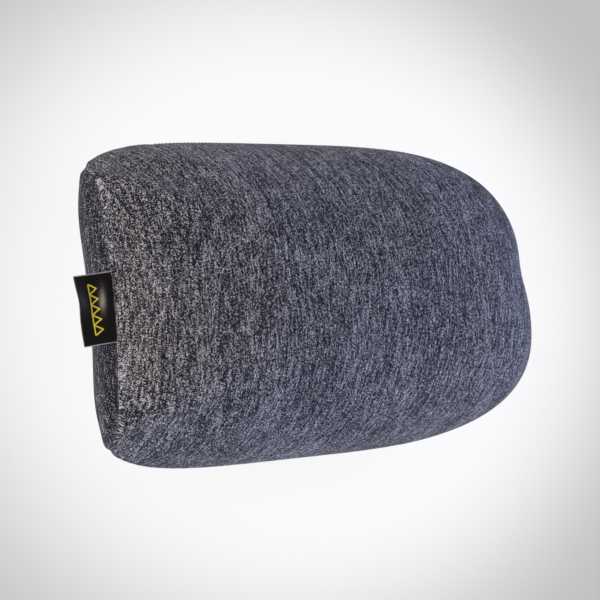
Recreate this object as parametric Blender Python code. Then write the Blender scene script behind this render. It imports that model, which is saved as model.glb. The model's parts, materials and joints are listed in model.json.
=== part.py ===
"""Camp pillow: a shaped foam core in a jersey cover of two panels that meet at a seam.

The pillow lies on its back panel. +X runs along its length, away from the label, +Y across it
towards the zip, and +Z up. The origin is the middle of the flat patch that it rests on.
"""

import math

import bmesh
import bpy
from mathutils import Matrix, Vector

# Overall body, in metres.
HALF_LENGTH = 0.1962
HALF_WIDTH = 0.1025
THICKNESS = 0.127
REST_FLATTENING = 0.0006

# Plan outline: squareness of each end, taper, and how each end seam departs from straight.
LABEL_END_SQUARENESS = 4.97
FAR_END_SQUARENESS = 3.29
TAPER = 0.0135
END_BOW = 0.0139
FAR_END_SLANT = -0.0201

# Crown of the two faces.
LABEL_END_CROWN = 3.07
FAR_END_CROWN = 2.77
SIDE_CROWN = 2.1
FRONT_ROUNDNESS = 2.0
BACK_CROWN = 3.5
BACK_ROUNDNESS = 2.2
CORNER_CROWN = 2.65
CORNER_ROUNDNESS = 1.8

# Seam height above the mid-plane at the label end, at its two corners and along the rest.
SEAM_AT_LABEL = 0.0122
SEAM_AT_CORNER = -0.017
SEAM_AT_SIDE = -0.019
CORNER_TURN = math.radians(45.5)
CORNER_SPREAD = math.radians(16)
CORNER_FADE = math.radians(34)

# Cover, core and the clearance left between pieces that touch.
GAP = 0.0003
CORE_CLEARANCE = 0.0006
COVER = 0.0014
GROOVE = 0.0009
THREAD_RADIUS = 0.0003
THREAD_DEPTH = 0.00035

# Mesh fineness.
BEARINGS = 88
ARC_STEPS = 14

# Label: a ribbon folded in half, its two cut ends caught in the end seam.
LABEL_WIDTH = 0.043
LABEL_Y = 0.001
LABEL_ROOT = 0.0009
LABEL_REACH = 0.0205
LABEL_PLY = 0.00035
LABEL_FOLD_GAP = 0.0003
LABEL_DROOP = math.radians(20)
LABEL_BEND_RADIUS = 0.006
LABEL_STRAIGHT = 0.0012

# Zip in the side seam.
ZIP_LENGTH = 0.180
ZIP_X = -0.030
TAPE_SETBACK = 0.0026
ZIP_SIDE_TURNS = (math.radians(10), math.radians(170))
SLOT_HALF_HEIGHT = 0.005
SLOT_END_MARGIN = 0.002
PULL_CLEARANCE = 0.0008
HEM = 0.003
TAPE_WIDTH = 0.008
TAPE_THICKNESS = 0.0005
TAPE_END = 0.002
COIL_WIDTH = 0.0018
COIL_THICKNESS = 0.0018
COIL_PARTING = 0.0012
STOP_LENGTH = 0.0027
STOP_OVERHANG = 0.0002
RECESS_MARGIN = 0.0015

# Slider and its pull.
SLIDER_LENGTH = 0.009
SLIDER_WALL = 0.0008
POST_WIDTH = 0.0006
POST_LENGTH = 0.0025
BRIDGE_LENGTH = 0.0072
BRIDGE_WIDTH = 0.0016
PULL_LENGTH = 0.024
PULL_WIDTH = 0.0052
PULL_THICKNESS = 0.001
PULL_WINDOW = 0.0024
PULL_ARM = 0.0044


def material(name, colour, roughness, metallic=0.0):
    made = bpy.data.materials.new(name)
    made.use_nodes = True
    shader = made.node_tree.nodes["Principled BSDF"]
    shader.inputs["Base Color"].default_value = (*colour, 1.0)
    shader.inputs["Roughness"].default_value = roughness
    shader.inputs["Metallic"].default_value = metallic
    made.diffuse_color = (*colour, 1.0)
    return made


def add_object(name, mesh, surface):
    made = bpy.data.objects.new(name, mesh)
    bpy.context.scene.collection.objects.link(made)
    if surface:
        mesh.materials.append(surface)
    return made


def signed_power(value, power):
    return math.copysign(abs(value) ** power, value)


def smooth_step(low, high, value):
    part = min(max((value - low) / (high - low), 0.0), 1.0)
    return part * part * (3 - 2 * part)


def squareness(bearing):
    return LABEL_END_SQUARENESS if math.cos(bearing) < 0 else FAR_END_SQUARENESS


def turn_at(bearing):
    """The outline's parameter at a compass bearing, which spaces the points evenly."""
    half = squareness(bearing) / 2
    return math.atan2(
        signed_power(math.sin(bearing), half), signed_power(math.cos(bearing), half)
    )


def side_y(x):
    """Half the width at a place along the length."""
    power = LABEL_END_SQUARENESS if x < 0 else FAR_END_SQUARENESS
    full = HALF_WIDTH * (1 - (abs(x) / HALF_LENGTH) ** power) ** (1 / power)
    return full * (1 - TAPER * x / HALF_LENGTH)


def outline(turn):
    """Plan position of the seam."""
    power = 2 / squareness(turn)
    across = signed_power(math.sin(turn), power)
    along = signed_power(math.cos(turn), power)
    x = HALF_LENGTH * along
    y = HALF_WIDTH * across * (1 - TAPER * along)
    if along < 0:
        x += END_BOW * (1 - across**2) * along**6
    else:
        x += FAR_END_SLANT * across / 2 * along**2
    return x, y


def from_label_end(turn):
    """Angle from the label end, from 0 to pi."""
    return abs(math.pi - turn % (2 * math.pi))


def seam_height(turn):
    """Height of the seam above the mid-plane."""
    away = from_label_end(turn)
    if away <= CORNER_TURN:
        dip = math.exp(-(((away - CORNER_TURN) / CORNER_SPREAD) ** 2))
        return SEAM_AT_LABEL + (SEAM_AT_CORNER - SEAM_AT_LABEL) * dip
    fade = smooth_step(CORNER_TURN, CORNER_TURN + CORNER_FADE, away)
    return SEAM_AT_CORNER + (SEAM_AT_SIDE - SEAM_AT_CORNER) * fade


def crown(turn, side):
    """Exponents of the face's section: how flat its top is and how round its edge."""
    end = LABEL_END_CROWN if math.cos(turn) < 0 else FAR_END_CROWN
    flat = end * math.cos(turn) ** 2 + SIDE_CROWN * math.sin(turn) ** 2
    edge = FRONT_ROUNDNESS
    if side < 0:
        flat, edge = BACK_CROWN, BACK_ROUNDNESS
    corner = math.exp(-(((from_label_end(turn) - CORNER_TURN) / CORNER_SPREAD) ** 2))
    flat += (CORNER_CROWN - flat) * corner
    edge += (CORNER_ROUNDNESS - edge) * corner
    return flat, edge


def placed(x, y, z, inset):
    """A point of the outer surface drawn in by inset, with the rest patch at z = 0."""
    inner = Vector(
        (
            x * (1 - inset / HALF_LENGTH),
            y * (1 - inset / HALF_WIDTH),
            z * (1 - inset / (THICKNESS / 2)),
        )
    )
    inner.z += THICKNESS / 2 - REST_FLATTENING
    return inner


def surface_point(turn, arc, side, inset):
    """A point of the front (side 1) or back (side -1): arc is 0 at its middle, pi/2 at the seam."""
    flat, edge = crown(turn, side)
    reach = math.sin(arc) ** (2 / flat)
    lift = max(math.cos(arc), 0.0) ** (2 / edge)
    x, y = outline(turn)
    seam = seam_height(turn) * reach**2
    z = seam + side * (THICKNESS / 2 - side * seam) * lift
    z = max(z, REST_FLATTENING - THICKNESS / 2)
    return placed(x * reach, y * reach, z, inset)


def seam_point(turn, inset, above=0.0):
    x, y = outline(turn)
    point = placed(x, y, seam_height(turn), inset)
    point.z += above
    return point


TURNS = [turn_at(2 * math.pi * (i + 0.5) / BEARINGS) for i in range(BEARINGS)]
ARCS = [math.pi / 2 * (i + 1) / ARC_STEPS for i in range(ARC_STEPS)]


def loft(name, start, rings, end, surface):
    """A closed body from one pole, through rings of equal length, to the other."""
    bm = bmesh.new()
    first = bm.verts.new(start)
    last = bm.verts.new(end)
    loops = [[bm.verts.new(point) for point in ring] for ring in rings]
    count = len(loops[0])
    for i in range(count):
        j = (i + 1) % count
        bm.faces.new((first, loops[0][i], loops[0][j]))
        bm.faces.new((last, loops[-1][j], loops[-1][i]))
        for ring, following in zip(loops, loops[1:]):
            bm.faces.new((ring[i], following[i], following[j], ring[j]))
    bmesh.ops.recalc_face_normals(bm, faces=bm.faces)
    mesh = bpy.data.meshes.new(name)
    bm.to_mesh(mesh)
    bm.free()
    mesh.shade_smooth()
    mesh.set_sharp_from_angle(angle=math.radians(40))
    return add_object(name, mesh, surface)


def face_rings(side, inset, arcs):
    return [[surface_point(turn, arc, side, inset) for turn in TURNS] for arc in arcs]


def cover_panel(name, side, surface):
    """One panel of the cover: a thin bowl, its edge rolled in to half of the seam's groove."""
    outer = face_rings(side, 0, ARCS[:-1])
    inner = face_rings(side, COVER, ARCS[:-1])
    lip = side * GAP / 2
    edges = [
        [seam_point(turn, 0, lip + side * GROOVE) for turn in TURNS],
        [seam_point(turn, GROOVE, lip) for turn in TURNS],
        [seam_point(turn, COVER, lip) for turn in TURNS],
    ]
    outer_pole = surface_point(0, 0, side, 0)
    inner_pole = surface_point(0, 0, side, COVER)
    return loft(name, outer_pole, outer + edges + inner[::-1], inner_pole, surface)


def foam_core(surface):
    inset = COVER + CORE_CLEARANCE
    rings = face_rings(1, inset, ARCS[:-1])
    rings.append([seam_point(turn, inset) for turn in TURNS])
    rings += face_rings(-1, inset, ARCS[:-1])[::-1]
    top = surface_point(0, 0, 1, inset)
    bottom = surface_point(0, 0, -1, inset)
    return loft("foam_core", top, rings, bottom, surface)


def box(name, low, high, surface, place=None):
    """A block between two corners, given in the frame of place."""
    bm = bmesh.new()
    bmesh.ops.create_cube(bm, size=1)
    size = Vector(high) - Vector(low)
    middle = (Vector(high) + Vector(low)) / 2
    bmesh.ops.transform(
        bm, matrix=Matrix.Translation(middle) @ Matrix.Diagonal((*size, 1)), verts=bm.verts
    )
    mesh = bpy.data.meshes.new(name)
    bm.to_mesh(mesh)
    bm.free()
    made = add_object(name, mesh, surface)
    if place:
        made.matrix_world = place
    return made


def combine(base, other, operation):
    """Joins other to base, or cuts it away, and keeps other only as a hidden guide."""
    step = base.modifiers.new(other.name, "BOOLEAN")
    step.object = other
    step.operation = operation
    step.solver = "EXACT"
    other.hide_render = True
    other.display_type = "WIRE"


def rounded(made, width):
    bevel = made.modifiers.new("Rounded", "BEVEL")
    bevel.width = width
    bevel.segments = 2
    bevel.limit_method = "ANGLE"


def side_reach(side, away):
    """Share of the full half width that is left at a distance above or below the side seam."""
    drop = THICKNESS / 2 - side * SEAM_AT_SIDE
    flat = SIDE_CROWN if side > 0 else BACK_CROWN
    edge = FRONT_ROUNDNESS if side > 0 else BACK_ROUNDNESS
    return (1 - (away / drop) ** edge) ** (1 / flat)


def crossing(rising, low, high):
    """Where a rising function passes zero, by halving."""
    for _ in range(40):
        middle = (low + high) / 2
        if rising(middle) < 0:
            low = middle
        else:
            high = middle
    return (low + high) / 2


def inside_point(turn, height, side):
    """The point of the cover's inside at a turn and a height."""
    arc = crossing(
        lambda arc: side * (height - surface_point(turn, arc, side, COVER).z), 0, math.pi / 2
    )
    return surface_point(turn, arc, side, COVER)


def tape_y(x):
    """How far out the tape's face can lie at x, so that its far edges clear the cover's inside."""
    away = COIL_PARTING / 2 + TAPE_WIDTH
    reaches = []
    for side in (1, -1):
        height = THICKNESS / 2 - REST_FLATTENING + SEAM_AT_SIDE + side * away
        turn = crossing(
            lambda turn: x - inside_point(turn, height, side).x, *ZIP_SIDE_TURNS
        )
        reaches.append(inside_point(turn, height, side).y)
    return min(reaches) - TAPE_SETBACK


def zip_frame():
    """Zip's own axes: X along the chain, Y out of the cover, Z up; Y = 0 is the tape's face."""
    low_x = ZIP_X + TAPE_LOW
    high_x = ZIP_X + TAPE_HIGH
    start = tape_y(low_x)
    slope = (tape_y(high_x) - start) / (high_x - low_x)
    height = THICKNESS / 2 - REST_FLATTENING + SEAM_AT_SIDE
    place = Matrix.Translation((ZIP_X, start - TAPE_LOW * slope, height))
    return place @ Matrix.Rotation(math.atan(slope), 4, "Z")


# The slot runs on past the bottom stop, so that the pull lies in it when the slider is there.
STOPPED_PULL_TIP = ZIP_LENGTH / 2 - STOP_LENGTH - GAP - SLIDER_LENGTH / 2 + PULL_LENGTH
SLOT_LOW = -ZIP_LENGTH / 2 - SLOT_END_MARGIN
SLOT_HIGH = max(ZIP_LENGTH / 2 + SLOT_END_MARGIN, STOPPED_PULL_TIP + PULL_CLEARANCE)
TAPE_LOW = SLOT_LOW - TAPE_END
TAPE_HIGH = SLOT_HIGH + TAPE_END
ZIP = zip_frame()


PLATE_LEVEL = GAP + COIL_THICKNESS + GAP
PULL_LEVEL = PLATE_LEVEL + SLIDER_WALL + GAP + PULL_THICKNESS / 2


def hem(name, side):
    """The cover's edge turned in along the zip: it stands on the tape beside the slot."""
    stations = 13
    hem_low = SLOT_LOW + SLOT_END_MARGIN
    hem_high = SLOT_HIGH - SLOT_END_MARGIN
    bm = bmesh.new()
    loops = []
    low, high = sorted((side * SLOT_HALF_HEIGHT, side * (SLOT_HALF_HEIGHT + HEM)))
    reach = side_reach(side, SLOT_HALF_HEIGHT + HEM / 2)
    for i in range(stations):
        along = hem_low + (hem_high - hem_low) * i / (stations - 1)
        x = (ZIP @ Vector((along, 0, 0))).x
        outside = (ZIP.inverted() @ Vector((x, side_y(x) * reach, 0))).y
        top = outside - COVER / 2
        corners = [(GAP, low), (top, low), (top, high), (GAP, high)]
        loops.append([bm.verts.new((along, y, z)) for y, z in corners])
    for loop, following in zip(loops, loops[1:]):
        for i in range(4):
            j = (i + 1) % 4
            bm.faces.new((loop[i], following[i], following[j], loop[j]))
    bm.faces.new(loops[0])
    bm.faces.new(loops[-1])
    bmesh.ops.recalc_face_normals(bm, faces=bm.faces)
    mesh = bpy.data.meshes.new(name)
    bm.to_mesh(mesh)
    bm.free()
    made = add_object(name, mesh, None)
    made.matrix_world = ZIP
    return made


def seam_turns(start, end):
    """The mesh's own turns between two bearings, given as angles from 0 to 2 pi."""
    chosen = []
    for i in range(2 * BEARINGS):
        bearing = 2 * math.pi * (i + 0.5) / BEARINGS
        if start <= bearing <= end:
            chosen.append(turn_at(bearing))
    return chosen


def seam_thread(name, start, end, surface):
    """The stitching line in the groove, from one bearing to another."""
    turns = seam_turns(start, end)
    curve = bpy.data.curves.new(name, "CURVE")
    curve.dimensions = "3D"
    curve.bevel_depth = THREAD_RADIUS
    curve.bevel_resolution = 1
    curve.use_fill_caps = True
    line = curve.splines.new("POLY")
    line.points.add(len(turns) - 1)
    for point, turn in zip(line.points, turns):
        point.co = (*seam_point(turn, THREAD_DEPTH), 1)
    made = bpy.data.objects.new(name, curve)
    bpy.context.scene.collection.objects.link(made)
    curve.materials.append(surface)
    return made


def label_seam():
    """Where the label leaves the seam: plan x and height."""
    nearest = min(TURNS, key=lambda turn: abs(outline(turn)[1] - LABEL_Y) + 10 * (math.cos(turn) > 0))
    return seam_point(nearest, 0)


def side_label(surface):
    """The folded ribbon: straight through the seam, a short bend, then straight to the fold."""
    root = label_seam()
    half = LABEL_FOLD_GAP / 2
    path = [(LABEL_ROOT, 0.0, 0.0), (-LABEL_STRAIGHT, 0.0, 0.0)]
    bend_steps = 5
    for i in range(1, bend_steps + 1):
        angle = LABEL_DROOP * i / bend_steps
        out = LABEL_STRAIGHT + LABEL_BEND_RADIUS * math.sin(angle)
        path.append((-out, -LABEL_BEND_RADIUS * (1 - math.cos(angle)), angle))
    travelled = LABEL_STRAIGHT + LABEL_BEND_RADIUS * LABEL_DROOP
    rest = LABEL_REACH - travelled - half - LABEL_PLY
    x, z, angle = path[-1]
    path.append((x - rest * math.cos(angle), z - rest * math.sin(angle), angle))

    def offset(step, distance):
        x, z, angle = step
        return x - distance * math.sin(angle), z + distance * math.cos(angle)

    def fold(radius):
        x, z, angle = path[-1]
        arc = []
        for i in range(1, 6):
            around = math.pi / 2 - math.pi * i / 6
            out = radius * math.cos(around)
            up = radius * math.sin(around)
            arc.append(
                (
                    x - out * math.cos(angle) - up * math.sin(angle),
                    z - out * math.sin(angle) + up * math.cos(angle),
                )
            )
        return arc

    outer = half + LABEL_PLY
    profile = [offset(step, outer) for step in path]
    profile += fold(outer)
    profile += [offset(step, -outer) for step in reversed(path)]
    profile += [offset(step, -half) for step in path]
    profile += reversed(fold(half))
    profile += [offset(step, half) for step in reversed(path)]
    bm = bmesh.new()
    low = LABEL_Y - LABEL_WIDTH / 2
    verts = [bm.verts.new((root.x + x, low, root.z + z)) for x, z in profile]
    face = bm.faces.new(verts)
    grown = bmesh.ops.extrude_face_region(bm, geom=[face])["geom"]
    moved = [item for item in grown if isinstance(item, bmesh.types.BMVert)]
    bmesh.ops.translate(bm, vec=(0, LABEL_WIDTH, 0), verts=moved)
    bmesh.ops.triangulate(bm, faces=[f for f in bm.faces if len(f.verts) > 4])
    bmesh.ops.recalc_face_normals(bm, faces=bm.faces)
    mesh = bpy.data.meshes.new("side_label")
    bm.to_mesh(mesh)
    bm.free()
    return add_object("side_label", mesh, surface)


def label_slot():
    root = label_seam()
    half = LABEL_FOLD_GAP / 2 + LABEL_PLY + GAP
    reach = 0.004
    low = (root.x - reach, LABEL_Y - LABEL_WIDTH / 2 - GAP, root.z - half)
    high = (root.x + reach, LABEL_Y + LABEL_WIDTH / 2 + GAP, root.z + half)
    return box("label_slot_cutter", low, high, None)


def zip_slot():
    depth = 0.012
    low = (SLOT_LOW, -depth, -SLOT_HALF_HEIGHT)
    return box("zip_slot_cutter", low, (SLOT_HIGH, depth, SLOT_HALF_HEIGHT), None, ZIP)


def zip_recess():
    """The room that the core leaves behind the zip."""
    floor = -TAPE_THICKNESS - GAP - SLIDER_WALL - GAP - GAP
    tall = COIL_PARTING / 2 + TAPE_WIDTH + RECESS_MARGIN
    low = (TAPE_LOW - RECESS_MARGIN, floor, -tall)
    return box("zip_recess_cutter", low, (TAPE_HIGH + RECESS_MARGIN, 0.03, tall), None, ZIP)


def zip_half(name, side, tape_surface, coil_surface):
    """One tape with its coil and its top stop."""
    inner = side * COIL_PARTING / 2
    tape_z = sorted((inner + side * GAP, inner + side * TAPE_WIDTH))
    low = (TAPE_LOW, -TAPE_THICKNESS, tape_z[0])
    box(f"zip_tape_{name}", low, (TAPE_HIGH, 0, tape_z[1]), tape_surface, ZIP)
    coil_end = ZIP_LENGTH / 2 - STOP_LENGTH - GAP
    coil_z = sorted((inner, inner + side * COIL_WIDTH))
    low = (-coil_end, GAP, coil_z[0])
    high = (coil_end, GAP + COIL_THICKNESS, coil_z[1])
    coil = box(f"zip_coil_{name}", low, high, coil_surface, ZIP)
    rounded(coil, COIL_WIDTH / 5)
    stop_z = sorted((inner, inner + side * (COIL_WIDTH + STOP_OVERHANG)))
    low = (-ZIP_LENGTH / 2, GAP, stop_z[0])
    high = (STOP_LENGTH - ZIP_LENGTH / 2, GAP + COIL_THICKNESS + STOP_OVERHANG, stop_z[1])
    rounded(box(f"zip_top_stop_{name}", low, high, coil_surface, ZIP), COIL_WIDTH / 5)


def zip_bottom_stop(surface):
    half = COIL_PARTING / 2 + COIL_WIDTH + STOP_OVERHANG
    low = (ZIP_LENGTH / 2 - STOP_LENGTH, GAP, -half)
    high = (ZIP_LENGTH / 2, GAP + COIL_THICKNESS + STOP_OVERHANG, half)
    rounded(box("zip_bottom_stop", low, high, surface, ZIP), COIL_WIDTH / 5)


def slider_place():
    """The slider's middle at rest, closed against the top stops."""
    x = STOP_LENGTH + GAP + SLIDER_LENGTH / 2 - ZIP_LENGTH / 2
    return ZIP @ Matrix.Translation((x, 0, 0))


def zip_slider(surface):
    place = slider_place()
    plate = PLATE_LEVEL
    inside = COIL_PARTING / 2 + COIL_WIDTH + GAP
    half = inside + SLIDER_WALL
    end = SLIDER_LENGTH / 2
    back = -TAPE_THICKNESS - GAP
    bridge_end = BRIDGE_LENGTH / 2
    bridge_half = BRIDGE_WIDTH / 2
    bridge_under = PULL_LEVEL + PULL_THICKNESS / 2 + GAP
    bridge_top = bridge_under + SLIDER_WALL
    root = plate + SLIDER_WALL / 2
    slider = box("zip_slider", (-end, plate, -half), (end, plate + SLIDER_WALL, half), surface, place)
    blocks = {
        "back_plate": ((-end, back - SLIDER_WALL, -half), (end, back, half)),
        "post": (
            (-end + GAP, back - SLIDER_WALL / 2, -POST_WIDTH / 2),
            (POST_LENGTH - end, root, POST_WIDTH / 2),
        ),
        "upper_flange": ((-end + GAP, 1.5 * GAP, inside), (end - GAP, root, half - GAP / 2)),
        "lower_flange": ((-end + GAP, 1.5 * GAP, GAP / 2 - half), (end - GAP, root, -inside)),
        "bridge_front": (
            (-bridge_end, root, -bridge_half),
            (SLIDER_WALL - bridge_end, bridge_top - GAP / 2, bridge_half - GAP / 3),
        ),
        "bridge_back": (
            (bridge_end - SLIDER_WALL, root, -bridge_half),
            (bridge_end, bridge_top - GAP / 2, bridge_half - GAP / 3),
        ),
        "bridge_bar": (
            (-bridge_end - GAP / 2, bridge_under, -bridge_half - GAP / 3),
            (bridge_end + GAP / 2, bridge_top, bridge_half),
        ),
    }
    for name, (low, high) in blocks.items():
        block = box(f"slider_{name}", low, high, None, place)
        combine(slider, block, "UNION")
    return slider


def zip_pull(surface):
    """The pull turns on its own cross bar, which the slider's bridge holds."""
    hinge = slider_place() @ Matrix.Translation((0, PULL_LEVEL, 0))
    thick = PULL_THICKNESS / 2
    wide = PULL_WIDTH / 2
    pull = box("zip_pull", (0, -thick, -wide), (PULL_LENGTH, thick, wide), surface, hinge)
    window = box(
        "pull_window_cutter",
        (-0.002, -0.002, -PULL_WINDOW / 2),
        (PULL_ARM, 0.002, PULL_WINDOW / 2),
        None,
        hinge,
    )
    combine(pull, window, "DIFFERENCE")
    bm = bmesh.new()
    bmesh.ops.create_cone(
        bm, segments=16, cap_ends=True, radius1=thick, radius2=thick, depth=PULL_WIDTH
    )
    mesh = bpy.data.meshes.new("pull_cross_bar")
    bm.to_mesh(mesh)
    bm.free()
    bar = add_object("pull_cross_bar", mesh, None)
    bar.matrix_world = hinge
    combine(pull, bar, "UNION")
    return pull


def bearing_of(x, y):
    """Compass bearing, from 0 to 2 pi, of a point on the outline."""
    return math.atan2(y / HALF_WIDTH, x / HALF_LENGTH) % (2 * math.pi)


def build():
    jersey = material("heather_jersey", (0.075, 0.082, 0.115), 0.95)
    foam = material("foam", (0.82, 0.78, 0.62), 0.9)
    thread = material("seam_thread", (0.03, 0.033, 0.05), 0.7)
    satin = material("label_satin", (0.012, 0.012, 0.013), 0.35)
    tape = material("zip_tape", (0.02, 0.022, 0.032), 0.9)
    nylon = material("zip_nylon", (0.025, 0.027, 0.038), 0.45)
    metal = material("zip_metal", (0.05, 0.05, 0.055), 0.4, 0.9)

    front = cover_panel("cover_front_panel", 1, jersey)
    back = cover_panel("cover_back_panel", -1, jersey)
    combine(front, hem("front_zip_hem", 1), "UNION")
    combine(back, hem("back_zip_hem", -1), "UNION")
    slot = zip_slot()
    label_cut = label_slot()
    for panel in (front, back):
        combine(panel, slot, "DIFFERENCE")
        combine(panel, label_cut, "DIFFERENCE")
    combine(foam_core(foam), zip_recess(), "DIFFERENCE")
    side_label(satin)

    for name, side in (("upper", 1), ("lower", -1)):
        zip_half(name, side, tape, nylon)
    zip_bottom_stop(nylon)
    zip_slider(metal)
    zip_pull(metal)

    far_x = ZIP_X + SLOT_HIGH + GAP
    near_x = ZIP_X + SLOT_LOW - GAP
    zip_far = bearing_of(far_x, side_y(far_x))
    zip_near = bearing_of(near_x, side_y(near_x))
    label_x = label_seam().x
    label_half = LABEL_WIDTH / 2 + 2 * GAP
    label_top = bearing_of(label_x, LABEL_Y + label_half)
    label_bottom = bearing_of(label_x, LABEL_Y - label_half)
    seam_thread("seam_thread_zip_side", zip_near, label_top, thread)
    seam_thread("seam_thread_plain_side", label_bottom, zip_far + 2 * math.pi, thread)


for leftover in list(bpy.data.objects):
    bpy.data.objects.remove(leftover, do_unlink=True)
build()
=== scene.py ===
# %% [markdown]
# # Camp pillow in heather jersey
# A camp pillow is a block of moulded foam in a stretch jersey cover. The cover is two panels that
# meet in one seam all round, with a label caught in one end and a zip on one long side. Each
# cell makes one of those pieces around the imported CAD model, which stays where it is.

# %% Load the frame
import json
import math

import bmesh
import bpy
import numpy as np
from mathutils import Matrix, Vector


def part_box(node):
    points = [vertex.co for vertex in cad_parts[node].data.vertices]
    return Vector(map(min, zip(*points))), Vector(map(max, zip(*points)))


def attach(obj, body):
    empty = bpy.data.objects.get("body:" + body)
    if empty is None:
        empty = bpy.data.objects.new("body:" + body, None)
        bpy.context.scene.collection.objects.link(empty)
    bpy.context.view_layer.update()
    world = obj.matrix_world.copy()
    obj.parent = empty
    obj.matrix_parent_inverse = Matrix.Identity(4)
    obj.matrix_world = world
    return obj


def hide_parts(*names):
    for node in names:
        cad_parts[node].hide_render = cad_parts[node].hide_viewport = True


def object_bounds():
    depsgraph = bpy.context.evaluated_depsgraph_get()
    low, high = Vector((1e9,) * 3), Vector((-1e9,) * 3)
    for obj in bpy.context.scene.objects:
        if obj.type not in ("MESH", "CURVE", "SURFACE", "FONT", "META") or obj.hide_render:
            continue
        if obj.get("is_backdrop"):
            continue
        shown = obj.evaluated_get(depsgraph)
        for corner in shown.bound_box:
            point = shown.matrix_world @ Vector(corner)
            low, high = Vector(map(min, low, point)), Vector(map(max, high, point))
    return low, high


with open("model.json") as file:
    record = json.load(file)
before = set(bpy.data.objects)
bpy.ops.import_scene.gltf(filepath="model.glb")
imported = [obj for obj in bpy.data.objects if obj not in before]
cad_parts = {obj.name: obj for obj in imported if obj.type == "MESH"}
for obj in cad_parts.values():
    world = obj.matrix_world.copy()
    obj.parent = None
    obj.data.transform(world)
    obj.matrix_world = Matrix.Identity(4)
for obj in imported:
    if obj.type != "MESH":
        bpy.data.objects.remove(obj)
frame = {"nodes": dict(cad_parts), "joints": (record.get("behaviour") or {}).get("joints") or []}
cad_low, cad_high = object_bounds()
print("CAD box", [round(1000 * side, 1) for side in cad_high - cad_low], "mm")

# %% [markdown]
# ## Colour and node helpers
# Shader colours are linear light, while a maker picks cloth colours on a screen in sRGB hex. One
# function turns one into the other, and one small function adds any node with its links.

# %% Helpers
def linear(code):
    """The linear RGBA of an sRGB hex colour."""
    parts = [int(code[i : i + 2], 16) / 255 for i in (1, 3, 5)]
    return (*[c / 12.92 if c <= 0.04045 else ((c + 0.055) / 1.055) ** 2.4 for c in parts], 1.0)


def add_node(tree, kind, inputs=None, **settings):
    """One node with its settings; an input is a plain value or the output that feeds it."""
    node = tree.nodes.new(kind)
    for name, value in settings.items():
        setattr(node, name, value)
    for key, value in (inputs or {}).items():
        if isinstance(value, bpy.types.NodeSocket):
            tree.links.new(value, node.inputs[key])
        else:
            node.inputs[key].default_value = value
    return node


def new_finish(name, roughness, **sockets):
    """A material with its Principled shader, whose unvarying values sit on its own sockets."""
    finish = bpy.data.materials.new(name)
    finish.use_nodes = True
    shader = finish.node_tree.nodes["Principled BSDF"]
    shader.inputs["Roughness"].default_value = roughness
    for key, value in sockets.items():
        shader.inputs[key.replace("_", " ")].default_value = value
    return finish, finish.node_tree, shader


def new_object(name, mesh):
    made = bpy.data.objects.new(name, mesh)
    bpy.context.scene.collection.objects.link(made)
    return made


print("node kinds are added by one function, add_node")

# %% [markdown]
# ## Camera
# The pillow lies on its back panel, and a long lens looks down on it from beyond the label end, so
# that both the face and the end show. The camera's axes are worked out from three angles.

# %% Camera
MIDDLE = Vector((0, 0, 0.0629))
AZIMUTH = math.radians(44.0)
LEAN = math.radians(-2.993)
ROLL = math.radians(5.268)
DISTANCE = 1.68
AIM_OFFSET = (-0.01194, -0.00168)

toward = Vector(
    (-math.sin(AZIMUTH) * math.cos(LEAN), math.sin(LEAN), math.cos(AZIMUTH) * math.cos(LEAN))
)
level = Vector((toward.z, 0, -toward.x)).normalized()
upright = toward.cross(level)
right = math.cos(ROLL) * level - math.sin(ROLL) * upright
above = toward.cross(right)
aim = MIDDLE + AIM_OFFSET[0] * right + AIM_OFFSET[1] * above

camera_data = bpy.data.cameras.new("studio_camera")
camera_data.lens = 154.5
camera_data.sensor_width = 36
camera = new_object("studio_camera", camera_data)
camera.location = MIDDLE + DISTANCE * toward
back = (camera.location - aim).normalized()
side_axis = above.cross(back).normalized()
turned = Matrix((side_axis, back.cross(side_axis), back)).transposed()
camera.rotation_mode = "QUATERNION"
camera.rotation_quaternion = turned.to_quaternion()
bpy.context.scene.camera = camera
print("camera at", [round(v, 3) for v in camera.location])

# %% [markdown]
# ## Studio
# The pale floor glows a little and falls off to grey away from the pillow, like a lit paper sweep,
# so the cloth is lit from all round and below and casts almost no shadow.

# %% Paper floor
FLOOR_NEAR = 0.90
FLOOR_FAR = 0.46
FLOOR_FADE = (0.13, 0.32)
bpy.context.scene.view_settings.view_transform = "Standard"

floor_mesh = bpy.data.meshes.new("paper_sweep")
bm = bmesh.new()
bmesh.ops.create_circle(bm, cap_ends=True, segments=96, radius=5)
bmesh.ops.translate(bm, verts=bm.verts, vec=(0, 0, cad_low.z - 0.0004))
bm.to_mesh(floor_mesh)
bm.free()
floor = new_object("paper_sweep", floor_mesh)
paper, tree, shader = new_finish("pale_paper", 0.9, Specular_IOR_Level=0.1)
place = add_node(tree, "ShaderNodeTexCoord")
squeezed = add_node(
    tree,
    "ShaderNodeMapping",
    {"Vector": place.outputs["Object"], "Location": (-0.0375, -0.003, 0), "Scale": (0.72, 1, 0)},
)
reach = add_node(tree, "ShaderNodeVectorMath", {0: squeezed.outputs[0]}, operation="LENGTH")
glow = add_node(
    tree,
    "ShaderNodeMapRange",
    {
        0: reach.outputs["Value"],
        1: FLOOR_FADE[0],
        2: FLOOR_FADE[1],
        3: FLOOR_NEAR,
        4: FLOOR_FAR,
    },
    interpolation_type="SMOOTHERSTEP",
)
shader.inputs["Base Color"].default_value = linear("#5c5c5c")
shader.inputs["Emission Color"].default_value = (1, 1, 1, 1)
tree.links.new(glow.outputs[0], shader.inputs["Emission Strength"])
floor_mesh.materials.append(paper)
floor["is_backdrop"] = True
print("floor glows", FLOOR_NEAR, "by the pillow and", FLOOR_FAR, "far away")

# %% [markdown]
# ## Sky and soft boxes
# The sky is darker overhead than low down, which lets the rounded edges catch more light than the
# middle. Three large soft boxes add a clear side, a warm label end and a cool far end.

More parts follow.
